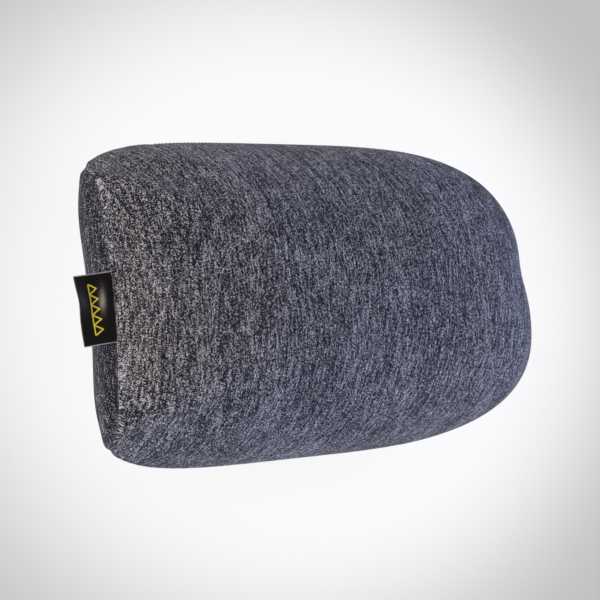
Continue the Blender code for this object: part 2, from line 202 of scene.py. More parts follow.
# %% Sky and soft boxes
SKY_BELOW = 0.19
SKY_OVERHEAD = 0.01
SKY_SEEN = 0.55
LAMP_DISTANCE = 1.3

world = bpy.data.worlds.new("soft_studio")
bpy.context.scene.world = world
world.use_nodes = True
tree = world.node_tree
sky = tree.nodes["Background"]
ray = add_node(tree, "ShaderNodeTexCoord")
facing = add_node(
    tree,
    "ShaderNodeVectorMath",
    {0: ray.outputs["Generated"], 1: tuple(toward)},
    operation="DOT_PRODUCT",
)
dimmer = add_node(
    tree,
    "ShaderNodeMapRange",
    {0: facing.outputs["Value"], 1: -1.0, 2: 1.0, 3: SKY_BELOW, 4: SKY_OVERHEAD},
)
seen = add_node(tree, "ShaderNodeLightPath")
level_seen = add_node(
    tree,
    "ShaderNodeMix",
    {0: seen.outputs["Is Camera Ray"], 2: dimmer.outputs[0], 3: SKY_SEEN},
)
tree.links.new(level_seen.outputs[0], sky.inputs["Strength"])
sky.inputs["Color"].default_value = linear("#f4f5ff")


def soft_box(name, direction, watts, size, colour):
    """A square soft box that looks at the pillow from a direction."""
    lamp = bpy.data.lights.new(name, "AREA")
    lamp.energy = watts
    lamp.size = size
    lamp.color = linear(colour)[:3]
    holder = new_object(name, lamp)
    away = Vector(direction).normalized()
    holder.location = MIDDLE + LAMP_DISTANCE * away
    holder.rotation_mode = "QUATERNION"
    holder.rotation_quaternion = away.to_track_quat("Z", "Y")
    return holder


soft_box("near_side_box", (0.2, -0.92, 0.27), 10, 0.9, "#eceeff")
soft_box("label_side_box", (-0.9, 0.2, 0.33), 11.5, 0.7, "#fff0de")
soft_box("far_end_box", (0.76, 0.22, 0.56), 10.5, 0.8, "#dbe1ff")
print("sky and three soft boxes")

# %% [markdown]
# ## Shape of the pillow
# The foam is a soft brick. Its outline seen from above is a rounded rectangle, squarer at the
# label end, and both faces crown up from the seam. The same few sizes shape the CAD panels, so the
# cloth lies exactly where they are.

# %% Driving sizes of the body
HALF_LENGTH = 0.1962
HALF_WIDTH = 0.1025
THICKNESS = 0.127
REST_FLATTENING = 0.0006
LABEL_END_SQUARENESS = 4.97
FAR_END_SQUARENESS = 3.29
TAPER = 0.0135
END_BOW = 0.0139
FAR_END_SLANT = -0.0201
LABEL_END_CROWN = 3.07
FAR_END_CROWN = 2.77
SIDE_CROWN = 2.1
FRONT_ROUNDNESS = 2.0
BACK_CROWN = 3.5
BACK_ROUNDNESS = 2.2
CORNER_CROWN = 2.65
CORNER_ROUNDNESS = 1.8
SEAM_AT_LABEL = 0.0122
SEAM_AT_CORNER = -0.017
SEAM_AT_SIDE = -0.019
CORNER_TURN = math.radians(45.5)
CORNER_SPREAD = math.radians(16)
CORNER_FADE = math.radians(34)
CORNER_REACH = (0.25, 0.95)
LIFT = THICKNESS / 2 - REST_FLATTENING
# The far end is pressed in a little where the foam's edge is soft
FAR_DENT = 0.0038
FAR_DENT_Y = 0.011
FAR_DENT_WIDTH = 0.015
FAR_DENT_FROM = 0.6
print("body", round(2000 * HALF_LENGTH, 1), "x", round(2000 * HALF_WIDTH, 1), "mm in plan")

# %% [markdown]
# ## Outline, seam and faces
# Any point of the body is given by a turn round the pillow and an arc from the middle of a face
# down to the seam. Powers of sine and cosine, as in a superellipse, make the ends squarer.

# %% Outline, seam and faces
def signed_power(value, power):
    return np.sign(value) * np.abs(value) ** power


def smooth_step(low, high, value):
    part = np.clip((value - low) / (high - low), 0, 1)
    return part * part * (3 - 2 * part)


def turn_toward(across_x, across_y):
    """The outline's parameter in a direction given as shares of the half length and width."""
    half = np.where(across_x < 0, LABEL_END_SQUARENESS, FAR_END_SQUARENESS) / 2
    return np.arctan2(signed_power(across_y, half), signed_power(across_x, half))


def outline(turn):
    """Plan position of the seam."""
    power = 2 / np.where(np.cos(turn) < 0, LABEL_END_SQUARENESS, FAR_END_SQUARENESS)
    across = signed_power(np.sin(turn), power)
    along = signed_power(np.cos(turn), power)
    bow = END_BOW * (1 - across**2) * along**6
    slant = FAR_END_SLANT * across / 2 * along**2
    x = HALF_LENGTH * along + np.where(along < 0, bow, slant)
    return x, HALF_WIDTH * across * (1 - TAPER * along)


def corner_share(turn):
    """1 at the two corners of the label end, fading to 0 away from them."""
    away = np.abs(math.pi - turn % (2 * math.pi))
    return away, np.exp(-(((away - CORNER_TURN) / CORNER_SPREAD) ** 2))


def seam_height(turn):
    """Height of the seam above the middle of the pillow."""
    away, dip = corner_share(turn)
    fade = smooth_step(CORNER_TURN, CORNER_TURN + CORNER_FADE, away)
    ahead = SEAM_AT_CORNER + (SEAM_AT_SIDE - SEAM_AT_CORNER) * fade
    return np.where(
        away <= CORNER_TURN, SEAM_AT_LABEL + (SEAM_AT_CORNER - SEAM_AT_LABEL) * dip, ahead
    )


def surface_point(turn, arc, side, inset=0.0):
    """A point of the front (side 1) or back (-1); arc is 0 at the middle, pi/2 at the seam."""
    end = np.where(np.cos(turn) < 0, LABEL_END_CROWN, FAR_END_CROWN)
    flat = end * np.cos(turn) ** 2 + SIDE_CROWN * np.sin(turn) ** 2
    edge = FRONT_ROUNDNESS + 0 * turn
    if side < 0:
        flat, edge = BACK_CROWN + 0 * turn, BACK_ROUNDNESS + 0 * turn
    corner = corner_share(turn)[1] * smooth_step(*CORNER_REACH, np.sin(arc))
    flat = flat + (CORNER_CROWN - flat) * corner
    edge = edge + (CORNER_ROUNDNESS - edge) * corner
    reach = np.sin(arc) ** (2 / flat)
    lift = np.maximum(np.cos(arc), 0) ** (2 / edge)
    x, y = outline(turn)
    seam = seam_height(turn) * reach**2
    z = seam + side * (THICKNESS / 2 - side * seam) * lift
    z = np.maximum(z, REST_FLATTENING - THICKNESS / 2)
    x = x * reach * (1 - inset / HALF_LENGTH)
    y = y * reach * (1 - inset / HALF_WIDTH)
    dent = FAR_DENT * np.exp(-(((y - FAR_DENT_Y) / FAR_DENT_WIDTH) ** 2))
    x = x - dent * smooth_step(FAR_DENT_FROM, 1.0, x / HALF_LENGTH)
    return np.stack([x, y, z * (1 - inset / (THICKNESS / 2)) + LIFT], axis=-1)


print("seam height", round(1000 * float(seam_height(np.array(math.pi))), 1), "mm at the label")

# %% [markdown]
# ## Even rows of stitches over a face
# A grid of squares follows a knitted panel better than a fan of triangles, because it has no pole.
# The square is pushed out to the outline, and its rings are spaced by true distance over the
# curved face, so that each cell stays about as large as its neighbour.

# %% Grid of a face
ROWS = 60
COLUMNS = 36
SEAM_BAND = 0.0052
BAND_STEPS = (0.0052, 0.0041, 0.0032, 0.0024, 0.0017, 0.0011, 0.0006, 0.00025, 0.0)
ARC_SAMPLES = 180
ARC_CROWDING = 1.6


def walk(turn, side, from_seam, share, inset=0.0):
    """Points at a share of the way from the face's middle to from_seam metres off the seam."""
    arcs = math.pi / 2 * np.linspace(0, 1, ARC_SAMPLES) ** ARC_CROWDING
    line = surface_point(turn[:, None], arcs[None, :], side, inset)
    steps = np.linalg.norm(np.diff(line, axis=1), axis=2)
    length = np.concatenate([np.zeros((len(turn), 1)), np.cumsum(steps, axis=1)], axis=1)
    wanted = np.clip((length[:, -1] - from_seam) * share, 0, None)
    points = np.empty((len(turn), 3))
    for i in range(len(turn)):
        for axis in range(3):
            points[i, axis] = np.interp(wanted[i], length[i], line[i, :, axis])
    return points, length[:, -1] - wanted


def grid_shares(rows, columns):
    """Square coordinates of the grid's points, row by row."""
    u, v = np.meshgrid(np.linspace(-1, 1, 2 * rows + 1), np.linspace(-1, 1, 2 * columns + 1))
    return u.T.ravel(), v.T.ravel()


def border_order(rows, columns):
    """Indices of the grid's border points, counterclockwise."""
    wide, tall = 2 * rows, 2 * columns

    def at(i, j):
        return i * (tall + 1) + j

    bottom = [at(i, 0) for i in range(wide)]
    far = [at(wide, j) for j in range(tall)]
    top = [at(i, tall) for i in range(wide, 0, -1)]
    near = [at(0, j) for j in range(tall, 0, -1)]
    return bottom + far + top + near


border = border_order(ROWS, COLUMNS)
print(len(border), "points round the seam")

# %% [markdown]
# ## Zip opening
# The two panels part along the zip. Its place is read from the CAD tape and stops: the slot is as
# long as the zip and a little over, and each panel's edge turns in and down to the tape.

# %% Zip measures from the frame
SLOT_HALF_HEIGHT = 0.005
TAPE_MARGIN = 0.0008
SLOT_ROUND = 0.0045
tape_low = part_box("zip_tape_lower")[0]
tape_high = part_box("zip_tape_upper")[1]
slide_axis = next(joint["axis"] for joint in frame["joints"] if joint["name"] == "zip_slide")
ZIP_Z = (tape_low.z + tape_high.z) / 2
ZIP_SLOPE = slide_axis[1] / slide_axis[0]


def tape_face(x):
    """How far out the tape's face lies at a place along the zip."""
    return tape_high.y + ZIP_SLOPE * (x - (tape_low.x if ZIP_SLOPE < 0 else tape_high.x))


def zip_share(points):
    """1 along the zip and 0 elsewhere, rounded off at the slot's two ends."""
    rise = np.clip((points[:, 0] - tape_low.x - TAPE_MARGIN) / SLOT_ROUND, 0, 1)
    fall = np.clip((tape_high.x - TAPE_MARGIN - points[:, 0]) / SLOT_ROUND, 0, 1)
    round_end = np.sqrt(1 - (1 - np.minimum(rise, fall)) ** 2)
    return round_end * (points[:, 1] > 0)


print("slot", round(1000 * (tape_high.x - tape_low.x - 2 * TAPE_MARGIN), 1), "mm long")

# %% [markdown]
# ## Cloth coordinates
# Heather yarn shows which way the knit lies, so each point needs its place in the flat cloth. A
# real panel is pulled over the foam and settles. Here every edge of the mesh is asked to keep its
# own length along and across the knit, and the places that answer best are found by relaxation.

# %% Relaxation over a mesh
RELAX_STEPS = 500


def unit(vectors):
    return vectors / np.maximum(np.linalg.norm(vectors, axis=1), 1e-12)[:, None]


def point_normals(points, faces):
    """Unit normals at the points, from the diagonals of each square."""
    corners = points[faces]
    facing = np.cross(corners[:, 2] - corners[:, 0], corners[:, 3] - corners[:, 1])
    total = np.zeros_like(points)
    for k in range(4):
        np.add.at(total, faces[:, k], facing)
    return unit(total)


def relaxed(count, edges, wanted, start):
    """Values whose differences along the edges come closest to the wanted ones."""
    low, high = edges.T

    def gather(flow):
        return np.bincount(high, flow, count) - np.bincount(low, flow, count)

    degree = np.bincount(edges.ravel(), minlength=count).astype(float)
    value = start.copy()
    rest = gather(wanted) - gather(value[high] - value[low])
    scaled = rest / degree
    way = scaled.copy()
    size = rest @ scaled
    settled = 1e-16 * size
    for _ in range(RELAX_STEPS):
        if size <= settled:
            break
        push = gather(way[high] - way[low])
        step = size / (way @ push)
        value += step * way
        rest -= step * push
        scaled = rest / degree
        new_size = rest @ scaled
        way = scaled + new_size / size * way
        size = new_size
    return value


print("values are relaxed in up to", RELAX_STEPS, "steps")

# %% [markdown]
# ## Courses and wales
# The courses of the knit run along the pillow and its wales across it. The cloth is drawn into a
# slight bow, more at the label end than at the far one.

# %% Places in the flat knit
BOW_AT_LABEL = 0.014
BOW_AT_FAR = 0.008
PANEL_MARK = 0.35


def knit_places(points, faces, side):
    """Each point's place along and across the flat panel, in metres."""
    faces = np.array(faces)
    normal = point_normals(points, faces)
    edges = np.concatenate([faces[:, [k, (k + 1) % 4]] for k in range(4)])
    edges = np.unique(np.sort(edges, axis=1), axis=0)
    step = points[edges[:, 1]] - points[edges[:, 0]]
    facing = unit(normal[edges].sum(axis=1))
    along = np.array([1.0, 0, 0]) - facing * facing[:, :1]
    across = np.array([0, 1.0, 0]) - facing * facing[:, 1:2]
    # On the ends only "across" is clear, and on the long sides only "along" is
    from_across = np.cross(across, facing) * side
    course = along * np.linalg.norm(along, axis=1)[:, None] ** 2
    course = unit(course + from_across * np.linalg.norm(across, axis=1)[:, None] ** 2)
    wale = np.cross(facing, course) * side
    places = np.zeros_like(points)
    places[:, 0] = relaxed(len(points), edges, (step * course).sum(axis=1), points[:, 0])
    places[:, 1] = relaxed(len(points), edges, (step * wale).sum(axis=1), points[:, 1])
    middle = np.argmin(np.hypot(points[:, 0], points[:, 1]))
    places[:, :2] -= places[middle, :2].copy()
    toward_edge = np.clip(points[:, 1] / HALF_WIDTH, -1, 1)
    toward_end = np.clip(points[:, 0] / HALF_LENGTH, -1, 1)
    bow = BOW_AT_FAR + (BOW_AT_LABEL - BOW_AT_FAR) * (1 - toward_end) / 2
    places[:, 0] -= bow * (1 - toward_edge**2)
    places[:, 2] = PANEL_MARK * side
    return places


print("the courses bow by", 1000 * BOW_AT_LABEL, "mm at the label end")

# %% [markdown]
# ## Cover panels
# The seam is sewn inside out and turned, so each panel rolls in to it: crisply on the front, softer
# on the back, with fine gathers where the cloth is eased round the two corners of the label end.

# %% Seam rolls and gathers
SEAM_DEPTH = 0.0024
FRONT_ROLL = 0.0016
FRONT_PUFF = 0.0007
PUFF_OFF_SEAM = 0.004
BACK_ROLL = 0.0062
GATHER_PITCH = 0.0042
GATHER_HEIGHT = 0.0003
GATHER_FADE = 0.006
GATHER_FADE_AT_CORNER = 0.022
GATHER_AWAY_FROM_CORNER = 0.25
rng = np.random.default_rng(11)
gather_phase = rng.uniform(0, 2 * math.pi, 6)


def plan_normals(points):
    """Outward directions in plan at the seam's points, which run counterclockwise."""
    along = np.roll(points, -1, axis=0) - np.roll(points, 1, axis=0)
    normal = np.stack([along[:, 1], -along[:, 0], 0 * along[:, 0]], axis=1)
    return unit(normal)


def by_turn(turn, seam_turn, values):
    """Values known along the seam, read at other points by their turn round the pillow."""
    circle = 2 * math.pi
    order = np.argsort(seam_turn % circle)
    return np.interp(turn % circle, (seam_turn % circle)[order], values[order], period=circle)


def gathers(distance, off_seam, corner):
    """Height of the fine folds that run off the seam."""
    folds = 0
    for k, phase in enumerate(gather_phase):
        pitch = GATHER_PITCH * (0.7 + 0.23 * k)
        folds = folds + np.sin(2 * math.pi * distance / pitch + phase) / (1 + 0.3 * k)
    fade = GATHER_FADE + GATHER_FADE_AT_CORNER * corner
    near = np.exp(-off_seam / fade) * np.clip(off_seam / 0.0015, 0, 1)
    share = GATHER_AWAY_FROM_CORNER + (1 - GATHER_AWAY_FROM_CORNER) * corner
    return GATHER_HEIGHT * folds / 2.2 * near * share


print(len(gather_phase), "waves of gathers, about", 1000 * GATHER_PITCH, "mm apart")

# %% [markdown]
# ## From the grid to the seam
# Each panel is its grid and then rings of points that roll in to the seam or turn in to the zip's
# tape. The back panel is drawn in below the lip that the front one makes at the label end.

# %% Points of a panel
ZIP_LIP = 0.0013
HEM_DEPTH = 0.0006
ALLOWANCE = 0.0030
UNDERCUT = 0.0032
UNDERCUT_OFF_SEAM = 0.0055
UNDERCUT_WIDTH = 0.00385
HALF_GAP = 0.00015


def cover_panel_points(side):
    """Grid points, then ring by ring the points that roll in to the seam."""
    u, v = grid_shares(ROWS, COLUMNS)
    share = np.maximum(np.abs(u), np.abs(v))
    turn = turn_toward(u, v)
    seam_turn = turn[border]
    seam, _ = walk(seam_turn, side, 0.0, 1.0)
    normal = plan_normals(seam)
    travelled = np.concatenate([[0], np.cumsum(np.linalg.norm(np.diff(seam, axis=0), axis=1))])
    corner = corner_share(seam_turn)[1] * (np.cos(seam_turn) < 0)
    open_share = zip_share(seam)
    slot = open_share * SLOT_HALF_HEIGHT
    grid, off_seam = walk(turn, side, SEAM_BAND + by_turn(turn, seam_turn, slot), share)
    rings = [walk(seam_turn, side, step + slot, 1.0)[0] for step in BAND_STEPS[1:]]
    points = np.concatenate([grid, *rings])
    turns = np.concatenate([turn] + [seam_turn] * len(rings))
    off = np.concatenate([off_seam] + [step + slot for step in BAND_STEPS[1:]])
    opened = by_turn(turns, seam_turn, open_share)
    outward = np.stack([by_turn(turns, seam_turn, normal[:, k]) for k in range(3)], axis=1)
    edge_off = off - opened * SLOT_HALF_HEIGHT
    roll = FRONT_ROLL if side > 0 else BACK_ROLL
    width = roll + (ZIP_LIP - roll) * opened
    depth = SEAM_DEPTH + (ZIP_LIP - SEAM_DEPTH) * opened
    bend = np.clip(1 - edge_off / width, 0, 1)
    drawn = depth * (1 - np.sqrt(1 - bend**2))
    if side > 0:
        puff = np.exp(-(((edge_off - PUFF_OFF_SEAM) / PUFF_OFF_SEAM) ** 2))
        drawn -= FRONT_PUFF * (1 - opened) * puff
    else:
        at_label = np.clip(-np.cos(turns) * 2 - 0.6, 0, 1)
        below_lip = np.exp(-(((edge_off - UNDERCUT_OFF_SEAM) / UNDERCUT_WIDTH) ** 2))
        drawn += UNDERCUT * at_label * below_lip * np.clip(edge_off / 0.002, 0, 1)
    folds = gathers(
        by_turn(turns, seam_turn, travelled), edge_off, by_turn(turns, seam_turn, corner)
    )
    points = points - outward * (drawn - folds)[:, None]
    last = points[-len(border) :].copy()
    inner = last - normal * ALLOWANCE
    in_zip = open_share > 0.02
    hem_floor = tape_face(last[in_zip, 0]) + 2 * HALF_GAP
    inner[in_zip, 1] = np.minimum(hem_floor, last[in_zip, 1] - HEM_DEPTH)
    inner[in_zip, 0] = last[in_zip, 0]
    last[:, 2] += side * HALF_GAP
    inner[:, 2] += side * HALF_GAP
    points[-len(border) :] = last
    return np.concatenate([points, inner]), np.concatenate([edge_off, np.zeros(len(border))])


print((2 * ROWS + 1) * (2 * COLUMNS + 1), "grid points and", len(BAND_STEPS), "rings to a panel")

# %% [markdown]
# ## The two panels
# Squares join the grid and the rings. Both panels are built the same way, and the back one's faces
# are turned over, so that both face outwards.

# %% Faces and meshes of the panels
def panel_faces(side, rows=ROWS, columns=COLUMNS, rings=len(BAND_STEPS)):
    """Squares of the grid, then of the rings round it."""
    tall = 2 * columns
    faces = []
    for i in range(2 * rows):
        for j in range(tall):
            a = i * (tall + 1) + j
            faces.append((a, a + tall + 1, a + tall + 2, a + 1))
    loop = border_order(rows, columns)
    count = len(loop)
    first = (2 * rows + 1) * (tall + 1)
    loops = [loop] + [list(range(first + k * count, first + (k + 1) * count)) for k in range(rings)]
    for loop, following in zip(loops, loops[1:]):
        for i in range(count):
            j = (i + 1) % count
            faces.append((loop[i], following[i], following[j], loop[j]))
    return faces if side > 0 else [face[::-1] for face in faces]


def mesh_from(name, points, faces):
    """A smooth-shaded mesh."""
    mesh = bpy.data.meshes.new(name)
    mesh.from_pydata([tuple(point) for point in points], [], faces)
    mesh.update()
    mesh.shade_smooth()
    return mesh


panels = {}
for name, side in (("cover_front", 1), ("cover_back", -1)):
    points, edge_off = cover_panel_points(side)
    faces = panel_faces(side)
    panels[name] = (points, edge_off, faces, knit_places(points, faces, side))
    print(name, len(points), "points")

# %% [markdown]
# ## Stretch over the foam
# A jersey panel is cut a little small and stretched over the core, and where it is eased into the
# seam it ripples. Blender's Cloth, blown up from inside with its seam pinned, finds those ripples.
# The core keeps the pillow's size, so only the ripples are kept and the overall swelling is not.

# %% Cloth simulation
PRESSURE = 4.0
SIM_FRAMES = 20
EASE = -0.05
EASE_REACH = 0.035
RIPPLE_CAP = 0.0018
SMOOTH_STEPS = 120
PIN_OFF_SEAM = 0.0012
PIN_OFF_FLOOR = 0.0008


def smoothed(values, faces, steps):
    """The slow part of a value over the mesh."""
    faces = np.array(faces)
    edges = np.concatenate([faces[:, [k, (k + 1) % 4]] for k in range(4)])
    degree = np.bincount(edges.ravel(), minlength=len(values)).astype(float)
    for _ in range(steps):
        total = np.zeros_like(values)
        for k in range(3):
            total[:, k] = np.bincount(edges[:, 0], values[edges[:, 1], k], len(values))
            total[:, k] += np.bincount(edges[:, 1], values[edges[:, 0], k], len(values))
        values = 0.5 * values + 0.5 * total / degree[:, None]
    return values


def stretched(points, edge_off, faces):
    """The panel with the ripples that the simulation finds."""
    trial = new_object("stretch_trial", mesh_from("stretch_trial", points, faces))
    pins = trial.vertex_groups.new(name="pinned")
    eased = trial.vertex_groups.new(name="eased")
    held = (edge_off < PIN_OFF_SEAM) | (points[:, 2] < PIN_OFF_FLOOR)
    pins.add([int(i) for i in np.flatnonzero(held)], 1.0, "REPLACE")
    for i, weight in enumerate(np.exp(-edge_off / EASE_REACH)):
        eased.add([i], float(weight), "REPLACE")
    cloth = trial.modifiers.new("stretch", "CLOTH")
    cloth.settings.quality = 5
    cloth.settings.mass = 0.12
    cloth.settings.tension_stiffness = 14
    cloth.settings.compression_stiffness = 14
    cloth.settings.shear_stiffness = 6
    cloth.settings.bending_stiffness = 0.04
    cloth.settings.use_pressure = True
    cloth.settings.uniform_pressure_force = PRESSURE
    cloth.settings.vertex_group_mass = pins.name
    cloth.settings.vertex_group_shrink = eased.name
    cloth.settings.shrink_min = 0
    cloth.settings.shrink_max = EASE
    cloth.settings.effector_weights.gravity = 0
    for step in range(1, SIM_FRAMES + 1):
        bpy.context.scene.frame_set(step)
    posed = trial.evaluated_get(bpy.context.evaluated_depsgraph_get())
    moved = np.empty(3 * len(points), np.float32)
    posed.data.vertices.foreach_get("co", moved)
    shift = moved.reshape(-1, 3) - points
    bpy.data.objects.remove(trial)
    bpy.context.scene.frame_set(1)
    ripple = shift - smoothed(shift, faces, SMOOTH_STEPS)
    size = np.linalg.norm(ripple, axis=1)
    swelling, highest = 1000 * np.abs(shift).max(), 1000 * size.max()
    print("swelling", round(swelling, 2), "mm, ripples", round(highest, 2), "mm")
    ripple *= np.minimum(1, RIPPLE_CAP / np.maximum(size, 1e-9))[:, None]
    return points + ripple


for name, (points, edge_off, faces, places) in panels.items():
    points = stretched(points, edge_off, faces)
    mesh = mesh_from(name, points, faces)
    knit = mesh.attributes.new("knit", "FLOAT_VECTOR", "POINT")
    knit.data.foreach_set("vector", places.astype(np.float32).ravel())
    panels[name] = new_object(name, mesh)

# %% [markdown]
# ## Heather jersey
# Heather yarn is spun from dark and pale fibres, then knitted into single jersey, left unbrushed.
# The pale fibres come up as short flecks in chains that follow the wales across the pillow, so
# the colour is a sum of stretched noises, and the same noises raise the flecks a little.

# %% Jersey finish
# Painted shade: the whole back panel is drawn a little darker, for the shadow below the front lip
BACK_PANEL_PAINTED_SHADE = 0.05
# Where the sum of the noises shows only dark yarn, and only pale
ALL_DARK = 0.490
ALL_PALE = 0.616
DARK_YARN = "#141827"
PALE_YARN = "#dadded"
jersey, tree, shader = new_finish(
    "heather_jersey_knit",
    0.92,
    Specular_IOR_Level=0.25,
    Sheen_Weight=0.05,
    Sheen_Roughness=0.45,
    Sheen_Tint=linear("#c6c9e6"),
)
cloth = add_node(tree, "ShaderNodeAttribute", attribute_name="knit")
FLECKS = (
    ("fleck", 0.62, 0.66, 1.5, 0.44),
    ("fuzz", 0.50, 0.42, 1.0, 0.32),
    ("chain", 1.0, 9.0, 1.0, 0.19),
    ("tone", 22.0, 60.0, 1.0, 0.05),
)
total = 0.0
for label, wide, tall, detail, weight in FLECKS:
    scaled = add_node(
        tree,
        "ShaderNodeVectorMath",
        {0: cloth.outputs["Vector"], 1: (1000 / wide, 1000 / tall, 10)},
        operation="MULTIPLY",
        label=label,
    )
    noise = add_node(
        tree,
        "ShaderNodeTexNoise",
        {"Vector": scaled.outputs[0], "Scale": 1.0, "Detail": detail, "Roughness": 0.6},
    )
    weighed = {0: noise.outputs[0], 1: weight, 2: total}
    total = add_node(tree, "ShaderNodeMath", weighed, operation="MULTIPLY_ADD").outputs[0]
panel = add_node(tree, "ShaderNodeSeparateXYZ", {0: cloth.outputs["Vector"]})
# Painted shade: the back panel's mark pulls its colour down by a fixed amount
back = add_node(
    tree, "ShaderNodeMath", {0: PANEL_MARK, 1: panel.outputs[2]}, operation="SUBTRACT"
)
tone_and_back_shade = add_node(
    tree,
    "ShaderNodeMath",
    {0: back.outputs[0], 1: -BACK_PANEL_PAINTED_SHADE, 2: total},
    operation="MULTIPLY_ADD",
)
share = add_node(
    tree,
    "ShaderNodeMapRange",
    {0: tone_and_back_shade.outputs[0], 1: ALL_DARK, 2: ALL_PALE, 3: 0.0, 4: 1.0},
    interpolation_type="SMOOTHSTEP",
)
yarn = add_node(
    tree,
    "ShaderNodeMix",
    {0: share.outputs[0], 6: linear(DARK_YARN), 7: linear(PALE_YARN)},
    data_type="RGBA",
)
tree.links.new(yarn.outputs[2], shader.inputs["Base Color"])
raised = add_node(
    tree, "ShaderNodeBump", {"Height": total, "Strength": 0.5, "Distance": 0.0012}
)
tree.links.new(raised.outputs[0], shader.inputs["Normal"])

for name, node in (("cover_front", "cover_front_panel"), ("cover_back", "cover_back_panel")):
    cover = panels[name]
    cover.data.materials.append(jersey)
    smooth = cover.modifiers.new("even_rows", "SUBSURF")
    smooth.levels = smooth.render_levels = 1
    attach(cover, "pillow")
    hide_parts(node)
print("jersey on two panels")

# %% [markdown]
# ## Other finishes
# The seams are sewn with twisted polyester. The zip is polyester tape with a drawn nylon coil and a
# painted zinc slider, and the core is moulded polyurethane foam. Each gets the grain that its
# making leaves, at its real size, or as coarse as it needs to show.

# %% Thread, tape, nylon, zinc and foam
def grained(name, roughness, dark, pale, grain_mm, depth_mm, detail=2.0, **sockets):
    """A finish whose colour and surface both follow one noise with a grain given in mm."""
    finish, tree, shader = new_finish(name, roughness, **sockets)
    place = add_node(tree, "ShaderNodeTexCoord")
    size = [1000 / grain for grain in grain_mm]
    scaled = add_node(
        tree, "ShaderNodeVectorMath", {0: place.outputs["Object"], 1: size}, operation="MULTIPLY"
    )
    noise = add_node(
        tree, "ShaderNodeTexNoise", {"Vector": scaled.outputs[0], "Scale": 1.0, "Detail": detail}
    )
    mixed = add_node(
        tree,
        "ShaderNodeMix",
        {0: noise.outputs[0], 6: linear(dark), 7: linear(pale)},
        data_type="RGBA",
    )
    tree.links.new(mixed.outputs[2], shader.inputs["Base Color"])
    bump = add_node(
        tree,
        "ShaderNodeBump",
        {"Height": noise.outputs[0], "Strength": 0.6, "Distance": depth_mm / 1000},
    )
    tree.links.new(bump.outputs[0], shader.inputs["Normal"])
    return finish


# Twisted polyester: soft gloss, with the twist as a fine grain
thread = grained("twisted_polyester_thread", 0.6, "#14161f", "#3a3e50", (0.4, 0.4, 0.4), 0.05)
# Woven tape: matt, with fine warp ribs running the length of the zip
tape = grained("woven_polyester_tape", 0.85, "#10121a", "#2e3242", (6.0, 0.5, 0.7), 0.15)
# Drawn nylon monofilament: smooth and slightly clear, so it keeps a soft highlight
nylon = grained("drawn_nylon_coil", 0.4, "#14161e", "#2a2d3a", (0.8, 0.8, 0.8), 0.02)
# Die-cast zinc under dark paint: metal shine broken by a faint orange peel
zinc = grained(
    "painted_die_cast_zinc", 0.38, "#26262a", "#3a3a40", (0.6, 0.6, 0.6), 0.02, Metallic=0.85
)
# Slow-rise polyurethane foam: cream, matt, with open cells
foam = grained("moulded_polyurethane_foam", 0.95, "#b9ac86", "#efe6c8", (1.4, 1.4, 1.4), 0.4, 4.0)
print("five grained finishes")

# %% [markdown]
# ## Foam core
# The core is one block with the pillow's own shape, a cover's thickness smaller, and cut back
# behind the zip. It is hidden when the zip is closed, but it is what a hand feels.

# %% Foam core piece
CORE_INSET = 0.0036
CORE_ROWS = 30
CORE_COLUMNS = 18
ZIP_ROOM = 0.0026
ZIP_ROOM_HEIGHT = 0.0115
ZIP_ROOM_BEYOND = 0.002
ZIP_ROOM_SLOPE = 1.5


def core_points(side):
    """Points of one face of the core."""
    u, v = grid_shares(CORE_ROWS, CORE_COLUMNS)
    share = np.maximum(np.abs(u), np.abs(v))
    return walk(turn_toward(u, v), side, 0.0, share, CORE_INSET)[0]


tops = core_points(1)
count = len(tops)
core_faces = panel_faces(1, CORE_ROWS, CORE_COLUMNS, 0)
for face in panel_faces(-1, CORE_ROWS, CORE_COLUMNS, 0):
    core_faces.append(tuple(count + i for i in face))
body = np.concatenate([tops, core_points(-1)])
beside = np.maximum(np.abs(body[:, 2] - ZIP_Z) - ZIP_ROOM_HEIGHT, 0)
past_end = np.maximum(tape_low.x - body[:, 0], body[:, 0] - tape_high.x)
beyond = np.maximum(past_end - ZIP_ROOM_BEYOND, 0)
limit = tape_face(body[:, 0]) - ZIP_ROOM + ZIP_ROOM_SLOPE * np.maximum(beside, beyond)
body[:, 1] = np.minimum(body[:, 1], np.where(body[:, 1] > 0, limit, 1))
core = new_object("foam_core_block", mesh_from("foam_core_block", body, core_faces))
bm = bmesh.new()
bm.from_mesh(core.data)
bmesh.ops.remove_doubles(bm, verts=bm.verts, dist=0.0002)
bm.to_mesh(core.data)
bm.free()
core.data.materials.append(foam)
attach(core, "pillow")
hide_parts("foam_core")
print("foam core", len(core.data.vertices), "points")

# %% [markdown]
# ## Rows of stitches and coil turns
# Stitches and the turns of a zip coil are the same thing to a modeller: a small rounded bead,
# repeated along a path. One Geometry Nodes tree resamples a path at a pitch and sets a bead at each
# point, turned to the path, so a change of pitch or bead size is one number.

